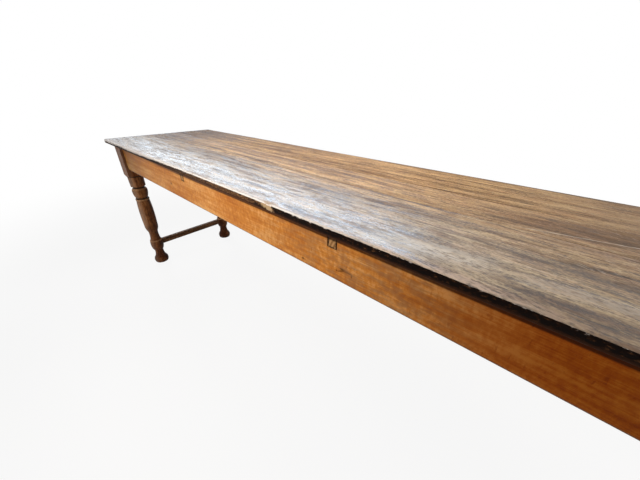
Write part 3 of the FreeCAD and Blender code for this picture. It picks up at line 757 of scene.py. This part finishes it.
def top_wood(name, offset, sides, stretch, specular):
    """Old waxed board: tan and grey figure at every scale with painted sheen and shade over it, dark streaks,
    worn rims with a painted highlight and shade, and patchy polish.
    """
    shader = Shader(name)
    point = wander(shader, grain_point(shader, "X", offset), TOP_SWAY)
    layers = top_layers(shader, point, stretch)
    along, across, _ = shader.split(shader.place())
    rear = shader.remap(shader.ragged(across, layers["broad"], REAR_RAGGED), *REAR_BAND)
    wood = top_shades(shader, top_figure(shader, point, layers, rear), rear)
    hue = streaks(shader, shader.shift(point, HUE_OFFSET), *HUE_STREAK)
    wood = shader.shade(shader.remap(hue, *HUE_CUT), wood, PINK)
    bands = grey_bands(shader, point, layers["flecks"], rear)
    wood = shader.shade(bands, wood, GREY_BAND)
    wood = shader.shade(layers["pores"], wood, PORE)
    wood = board_lines(shader, wood, layers, sides)
    wood = shader.mix(scuffs(shader, point, layers["broad"]), wood, PALE_SCUFF)
    wood = board_rims(shader, wood, layers["flecks"])
    relief = shader.times(shader.weigh(layers, RELIEF_SHARES), shader.remap(along, *SMOOTH_SPAN))
    roughness = top_roughness(shader, layers, bands)
    return shader.finish(wood, roughness, specular, shader.bump(relief, TOP_RELIEF))


# Aprons

def pine(name, along, offset, marks=()):
    """Honey-coloured softwood under old varnish, with golden patches, cross mottling, dents and knots."""
    shader = Shader(name)
    point = grain_point(shader, along, offset)
    layers = {
        "broad": streaks(shader, point, *PINE_BROAD),
        "rings": streaks(shader, wander(shader, point, PINE_SWAY), *PINE_RINGS),
        "fine": streaks(shader, point, *FINE_GRAIN),
        "mottle": shader.noise(point, *PINE_MOTTLE),
        "dents": shader.remap(shader.noise(point, *PINE_DENTS), *DENT_CUT),
    }
    colour = shader.ramp(shader.weigh(layers, PINE_SHARES), APRON_TONES)
    colour = shader.mix(layers["dents"], colour, RED_SHADE)
    for mark in marks:
        colour = knot(shader, colour, point, mark)
    colour = apron_shades(shader, colour, point)
    roughness = shader.remap(layers["mottle"], *MOST, *PINE_ROUGHNESS)
    relief = shader.weigh(layers, PINE_RELIEF_SHARES)
    return shader.finish(colour, roughness, PINE_GLOSS, shader.bump(relief, PINE_RELIEF))


def apron_shades(shader, colour, point):
    """Smoke in patches, a redder right part that is partly painted shade, a darker, greyer left end, a
    painted shadow under the top, and dirt along the lower edge.
    """
    x, _, z = shader.split(shader.place())
    smoke = shader.times(shader.remap(x, *SMOKE_FROM), shader.remap(x, *SMOKE_TO))
    patches = shader.remap(streaks(shader, point, *SMOKE_PATCHES), *SMOKE_CUT)
    colour = shader.mix(shader.times(smoke, patches), colour, SMOKE)
    # Redder wood and painted shade toward the right end
    colour = shader.shade(shader.remap(x, *RED_AND_SHADE_SPAN), colour, RED_AND_SHADE_TINT)
    # Darker and greyer toward the left end
    colour = shader.shade(shader.remap(x, *LEFT_END_SPAN), colour, LEFT_END_GREY)
    # Painted shadow of the top's overhang
    colour = painted_overhang_shadow(shader, colour)
    return shader.mix(shader.remap(z, *LOW_ARRIS), colour, GREY_ARRIS)


def painted_overhang_shadow(shader, colour):
    """Colour darkened by a painted shadow of the top's overhang, which fades toward the left end."""
    x, _, z = shader.split(shader.place())
    corner = shader.times(shader.remap(z, *CORNER_BAND), shader.remap(x, *CORNER_SPAN))
    return shader.shade(corner, colour, OVERHANG_PAINTED_SHADOW)


def knot(shader, colour, point, mark):
    """Dark knot drawn into a colour, with a reddish ring round it."""
    x, z, half_length, half_height, slope = mark
    along, _, up = shader.split(shader.shift(point, (-x, 0.0, -z)))
    rise = shader.total((up, 1 / half_height), (along, -slope / half_height))
    away = shader.length(shader.join(shader.times(along, 1 / half_length), 0.0, rise))
    reach = shader.ragged(away, shader.noise(point, *KNOT_NOISE), KNOT_RAGGED)
    colour = shader.mix(shader.remap(reach, *KNOT_RING_REACH), colour, KNOT_RING)
    return shader.mix(shader.remap(reach, *KNOT_HEART_REACH), colour, KNOT_HEART)


# Legs and rails

def dark_wood(name, along, offset, tones, marks=None):
    """Dark stained wood, rubbed paler in places, with marks of its own where they are given."""
    shader = Shader(name)
    point = grain_point(shader, along, offset)
    layers = {
        "broad": streaks(shader, point, *DARK_BROAD),
        "fine": streaks(shader, point, *FINE_GRAIN),
        "wear": shader.noise(point, *DARK_WEAR),
    }
    colour = shader.ramp(shader.weigh(layers, DARK_SHARES), tones)
    if marks:
        colour = marks(shader, colour)
    roughness = shader.remap(layers["wear"], *MOST, *DARK_ROUGHNESS)
    return shader.finish(colour, roughness, DARK_GLOSS, shader.bump(layers["fine"], DARK_RELIEF))


def leg_marks(shader, colour):
    """Marks of the legs: greyer outer sides, painted shade on the inner sides, darker blocks and lower legs,
    pale rings that are partly painted highlight, and painted shade in the grooves.
    """
    _, across, height = shader.split(shader.place())
    from_middle = shader.maths("SUBTRACT", shader.maths("ABSOLUTE", across), LEG_MIDDLE.y)
    # Greyer outer sides
    colour = shader.mix(shader.remap(from_middle, *GREY_OUTER_SIDE), colour, LEG_OUTER_GREY)
    # Painted shade on the inner sides
    colour = shader.shade(shader.remap(from_middle, *INNER_SIDE), colour, INNER_PAINTED_SHADE)
    colour = shader.shade(shader.remap(height, *BLOCK_BAND), colour, BLOCK_SHADE)
    ankle = shader.times(shader.remap(height, *ANKLE_BAND), shader.remap(height, *FOOT_BAND))
    colour = shader.shade(ankle, colour, ANKLE_SHADE)
    colour = shader.shade(shader.remap(height, *CUP_BAND), colour, CUP_SHADE)
    # Pale rings, partly wear and partly painted highlight
    colour = round_marks(shader, colour, LEG_PALE_RINGS, RING_WEAR_AND_HIGHLIGHT, RING_STRENGTH)
    # Painted shade in the grooves
    return round_marks(shader, colour, LEG_GROOVES, GAP_DIRT_AND_GROOVE_SHADE, GROOVE_STRENGTH)


def round_marks(shader, colour, places, shade, strength):
    """Marks that run round a turned leg at heights of their own."""
    _, _, height = shader.split(shader.place())
    for middle, half_width in places:
        away = shader.maths("ABSOLUTE", shader.maths("SUBTRACT", height, middle))
        colour = shader.mix(shader.remap(away, half_width, half_width / 2, 0.0, strength), colour, shade)
    return colour


# Bare wood and steel under the table

def bare_wood(name, along, offset, ends=None):
    """Unfinished softwood, as under the table, with its own marking of the ends where one is given."""
    shader = Shader(name)
    point = grain_point(shader, along, offset)
    layers = {
        "broad": streaks(shader, point, *BARE_BROAD),
        "fine": streaks(shader, point, *BARE_FINE),
    }
    colour = shader.ramp(shader.weigh(layers, BARE_SHARES), BARE_TONES)
    if ends:
        colour = ends(shader, colour)
    roughness = shader.remap(layers["fine"], *MOST, *BARE_ROUGHNESS)
    return shader.finish(colour, roughness, BARE_GLOSS, shader.bump(layers["fine"], BARE_RELIEF))


def bearer_ends(shader, colour):
    """End grain of the bearers: slanting year rings under varnish, dirt in the joint round them, and the
    painted shadow of the top's overhang.
    """
    x, y, z = shader.split(shader.place())
    nearest = shader.times(shader.maths("ROUND", shader.times(x, 1 / BEARER_PITCH)), BEARER_PITCH)
    aside = shader.maths("SUBTRACT", x, nearest)
    rise = shader.maths("SUBTRACT", z, BEARER_LOW.z)
    from_heart = shader.shift(shader.join(aside, 0.0, rise), (-HEART_ASIDE, 0.0, HEART_BELOW))
    rings = shader.maths("SINE", shader.times(shader.length(from_heart), RING_WAVES))
    grain = shader.mix(shader.remap(rings, *RING_CUT), END_DARK, END_PALE)
    from_side = shader.maths("SUBTRACT", BEARER_HALF, shader.maths("ABSOLUTE", aside))
    from_joint = shader.maths("MINIMUM", from_side, rise)
    reach = shader.ragged(from_joint, shader.noise(shader.place(), *CRUMBS), CRUMB_RAGGED)
    grain = shader.mix(shader.remap(reach, *JOINT_DIRT), grain, GAP_DIRT_AND_GROOVE_SHADE)
    near_end = shader.remap(shader.maths("ABSOLUTE", y), *END_BAND)
    # The end grain takes the painted shadow of the top's overhang too
    return shader.mix(near_end, colour, painted_overhang_shadow(shader, grain))


def dull_steel():
    """Old screw steel, brown with age."""
    shader = Shader("screw_steel")
    rust = shader.noise(shader.place(), *RUST)
    shader.surface.inputs["Metallic"].default_value = STEEL_METAL
    colour = shader.ramp(rust, STEEL_TONES)
    roughness = shader.remap(rust, *RUST_ROUGHNESS)
    return shader.finish(colour, roughness, STEEL_GLOSS, shader.bump(rust, STEEL_RELIEF))


# Worn boards of the top

def fallen_back(distance, radius):
    """How far a quarter round of that radius has fallen back, at a distance inside its edge."""
    if distance >= radius:
        return 0.0
    return radius - math.sqrt(radius ** 2 - (radius - distance) ** 2)


def steps_in(radius):
    """Distances inside an edge at which its quarter round is cut."""
    return [radius * (1 - math.cos(math.pi / 2 * step / ROUND_STEPS)) for step in range(ROUND_STEPS + 1)]


def smooth_step(value):
    value = min(max(value, 0.0), 1.0)
    return value * value * (3 - 2 * value)


def chance(x, y, waves, seed):
    """Smooth noise from 0 to 1, with that many waves per metre both ways."""
    return 0.5 + 0.5 * noise.noise(Vector((x * waves[0], y * waves[1], seed)))


def board_columns(low, high, rounds):
    """Places across a board at which its upper face is cut, from its front edge to its rear edge."""
    front, rear = rounds
    count = math.ceil((high - low - front - rear) / TOP_STEP)
    inner = [low + front + (high - low - front - rear) * step / count for step in range(1, count)]
    return [low + d for d in steps_in(front)] + inner + [high - d for d in reversed(steps_in(rear))]


def board_stations(low, high):
    """Places along a board at which it is cut, close together over its rounded ends."""
    near = steps_in(CORNER_ROUND)
    count = math.ceil((high - low - 2 * CORNER_ROUND) / STATION)
    inner = [low + CORNER_ROUND + (high - low - 2 * CORNER_ROUND) * step / count for step in range(1, count)]
    return [low + d for d in near] + inner + [high - d for d in reversed(near)]


def chip(x):
    """Depth of the old chip in the front edge."""
    return CHIP_DEPTH * smooth_step(1 - abs(x - CHIP_MIDDLE) / CHIP_HALF)


def worn_point(x, y, z, box, outer, seed):
    """Point of a board moved inward by wear: hollows in the face, rubbed outer edges and the chip."""
    low, high = box
    upper = smooth_step((z - low.z) / (high.z - low.z))
    hollow = HOLLOW * chance(x, y, HOLLOW_WAVES, seed)
    ripple = RIPPLE * chance(x, y, RIPPLE_WAVES, seed + RIPPLE_SEED)
    z -= upper * (hollow + ripple)
    for side, edge, is_outer in ((1.0, low.y, outer[0]), (-1.0, high.y, outer[1])):
        near = smooth_step(1 - abs(y - edge) / EDGE_REACH)
        if not is_outer or near == 0.0:
            continue
        wear = EDGE_WEAR * chance(x, z, EDGE_WAVES, seed + EDGE_SEED)
        wear *= chance(x, z, STRONG_WAVES, seed + STRONG_SEED)
        if side > 0:
            wear += upper * chip(x)
        y += side * near * wear
        z -= EDGE_DROP * near * upper * wear
    return Vector((x, y, z))


def board_ring(x, box, columns, rounds, outer, seed):
    """Closed outline across a board at one place along it, over the top and back underneath."""
    low, high = box
    from_end = min(x - low.x, high.x - x)
    drop = fallen_back(from_end, EDGE_ROUND)
    rise = fallen_back(from_end, UNDER_ROUND)
    inset = [fallen_back(from_end, CORNER_ROUND if is_outer else SEAM_ROUND) for is_outer in outer]
    squeeze = (high.y - low.y - sum(inset)) / (high.y - low.y)
    ring = []
    for y in columns:
        z = high.z - drop - max(fallen_back(y - low.y, rounds[0]), fallen_back(high.y - y, rounds[1]))
        ring.append(worn_point(x, low.y + inset[0] + (y - low.y) * squeeze, z, box, outer, seed))
    under = steps_in(UNDER_ROUND)
    for side, edge in ((-1.0, high.y - inset[1]), (1.0, low.y + inset[0])):
        arc = under if side < 0 else list(reversed(under))
        for inside in arc:
            z = low.z + rise + fallen_back(inside, UNDER_ROUND)
            ring.append(worn_point(x, edge + side * inside, z, box, outer, seed))
    return ring


def board_side(up):
    """Which material a board's face takes, by how far it faces up."""
    if up > UPPER_TILT:
        return UPPER
    return UNDER if up < UNDER_TILT else SIDE


def board_mesh(node, outer, seed):
    """Worn board with rounded edges, hollows in its face and a rubbed outer side."""
    low, high = (Vector(corner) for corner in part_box(node))
    rounds = [EDGE_ROUND if is_outer else SEAM_ROUND for is_outer in outer]
    columns = board_columns(low.y, high.y, rounds)
    mesh = bmesh.new()
    rings = []
    for x in board_stations(low.x, high.x):
        ring = board_ring(x, (low, high), columns, rounds, outer, seed)
        rings.append([mesh.verts.new(place) for place in ring])
    for first, second in zip(rings, rings[1:]):
        for index in range(len(first)):
            after = (index + 1) % len(first)
            mesh.faces.new((first[index], first[after], second[after], second[index])).smooth = True
    for ring in (rings[0], rings[-1][::-1]):
        end = mesh.faces.new(ring)
        for edge in end.edges:
            edge.smooth = False
    bmesh.ops.recalc_face_normals(mesh, faces=mesh.faces)
    for face in mesh.faces:
        face.material_index = board_side(face.normal.z)
    return mesh


def make_board(node, outer, seed, materials):
    """Worn board in place of a plain one."""
    mesh = board_mesh(node, outer, seed)
    name = node.replace("top_board", "worn_board")
    data = bpy.data.meshes.new(name)
    mesh.to_mesh(data)
    mesh.free()
    for material in materials:
        data.materials.append(material)
    board = bpy.data.objects.new(name, data)
    bpy.context.scene.collection.objects.link(board)
    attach(board, "root")
    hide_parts(node)


# Stage, light and camera

def background_rays(nodes, links):
    """1 for the rays that show the background: straight from the camera, mirrored or through glass."""
    path = nodes.new("ShaderNodeLightPath")
    seen = path.outputs["Is Camera Ray"]
    for kind in ("Is Glossy Ray", "Is Transmission Ray"):
        either = nodes.new("ShaderNodeMath")
        either.operation = "MAXIMUM"
        links.new(seen, either.inputs[0])
        links.new(path.outputs[kind], either.inputs[1])
        seen = either.outputs[0]
    return seen


def make_floor():
    """Pale floor that keeps the table's shadow near it and goes over to white further off."""
    mesh = bmesh.new()
    bmesh.ops.create_grid(mesh, x_segments=FLOOR_CELLS, y_segments=FLOOR_CELLS, size=FLOOR_HALF)
    data = bpy.data.meshes.new("floor")
    mesh.to_mesh(data)
    mesh.free()
    floor = bpy.data.objects.new("floor", data)
    bpy.context.scene.collection.objects.link(floor)
    shader = Shader("pale_floor")
    shader.finish(FLOOR_COLOUR, FLOOR_ROUGHNESS, 0.0)
    glow = shader.node("ShaderNodeEmission", {"Color": WHITE, "Strength": 1.0}).outputs[0]
    away = shader.length(shader.scale(shader.place(), (1 / FLOOR_REACH[0], 1 / FLOOR_REACH[1], 1.0)))
    white = shader.remap(away, *FLOOR_FADE)
    share = shader.times(white, background_rays(shader.nodes, shader.links))
    plain = shader.surface.outputs[0]
    surface = shader.node("ShaderNodeMixShader", {0: share, 1: plain, 2: glow}).outputs[0]
    shader.links.new(surface, shader.nodes["Material Output"].inputs["Surface"])
    data.materials.append(shader.material)


def make_world():
    """White for the camera and in reflections, softer as light on the table."""
    world = bpy.data.worlds.new("studio")
    bpy.context.scene.world = world
    world.use_nodes = True
    nodes = world.node_tree.nodes
    links = world.node_tree.links
    background = nodes["Background"]
    background.inputs["Color"].default_value = WHITE
    strength = nodes.new("ShaderNodeMapRange")
    strength.inputs["To Min"].default_value = WORLD_LIGHT
    strength.inputs["To Max"].default_value = 1.0
    links.new(background_rays(nodes, links), strength.inputs["Value"])
    links.new(strength.outputs[0], background.inputs["Strength"])


def make_lamp(name, place, target, size, power, colour, spread, rays):
    """Soft box that faces a point: its beam is held to a spread in degrees, and it shows in those rays."""
    lamp = bpy.data.lights.new(name, "AREA")
    lamp.shape = "RECTANGLE"
    lamp.size, lamp.size_y = size
    lamp.energy = power
    lamp.color = colour
    lamp.spread = math.radians(spread)
    holder = bpy.data.objects.new(name, lamp)
    holder.location = place
    holder.visible_camera = False
    holder.visible_diffuse = "diffuse" in rays
    holder.visible_glossy = "glossy" in rays
    holder.rotation_euler = (Vector(target) - Vector(place)).to_track_quat("-Z", "Y").to_euler()
    bpy.context.scene.collection.objects.link(holder)


def make_camera():
    """Camera at the photograph's place and angle."""
    ahead = Vector((
        -math.cos(CAMERA_TURN) * math.cos(CAMERA_DIP),
        math.sin(CAMERA_TURN) * math.cos(CAMERA_DIP),
        -math.sin(CAMERA_DIP),
    ))
    level = Vector((math.sin(CAMERA_TURN), math.cos(CAMERA_TURN), 0.0))
    above = level.cross(ahead)
    right = math.cos(CAMERA_ROLL) * level + math.sin(CAMERA_ROLL) * above
    up = right.cross(ahead)
    data = bpy.data.cameras.new("camera")
    data.sensor_width = SENSOR_WIDTH
    data.lens = SENSOR_WIDTH * FOCAL_PIXELS / IMAGE_WIDTH
    data.clip_start = CAMERA_NEAR
    camera = bpy.data.objects.new("camera", data)
    turn = Matrix((right, up, -ahead)).transposed().to_4x4()
    camera.matrix_world = Matrix.Translation(CAMERA_PLACE) @ turn
    bpy.context.scene.collection.objects.link(camera)
    bpy.context.scene.camera = camera


# Finishes on the table's pieces

finishes = {node: pine(*apron) for node, apron in APRONS.items()}
leg_wood = dark_wood("leg_wood", "Z", LEG_OFFSET, LEG_TONES, leg_marks)
rail_wood = dark_wood("rail_wood", "Y", RAIL_OFFSET, RAIL_TONES)
bearer_wood = bare_wood("bearer_wood", "Y", BEARER_OFFSET, bearer_ends)
block_wood = bare_wood("block_wood", "X", BLOCK_OFFSET)
steel = dull_steel()


def finish_of(node):
    """Material of a piece, by its name."""
    if node in finishes:
        return finishes[node]
    if "screws" in node:
        return steel
    if node.startswith("bearer"):
        return bearer_wood
    if node.startswith(("glue", "top_")):
        return block_wood
    if node in ("stretcher_left", "stretcher_right"):
        return rail_wood
    return leg_wood


for name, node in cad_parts.items():
    node.data.materials.clear()
    node.data.materials.append(finish_of(name))

sides = edge_wood()
underside = bare_wood("under_wood", "X", UNDER_OFFSET)
for node, (outer, seed, offset, stretch, specular) in BOARDS.items():
    low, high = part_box(node)
    name = node.replace("top_board", "worn_wood")
    face = top_wood(name, offset, (low[1], high[1]), stretch, specular)
    make_board(node, outer, seed, (face, sides, underside))

make_floor()
make_world()
for name, lamp in LAMPS.items():
    make_lamp(name, *lamp)
make_camera()
bpy.context.scene.view_settings.view_transform = "Standard"
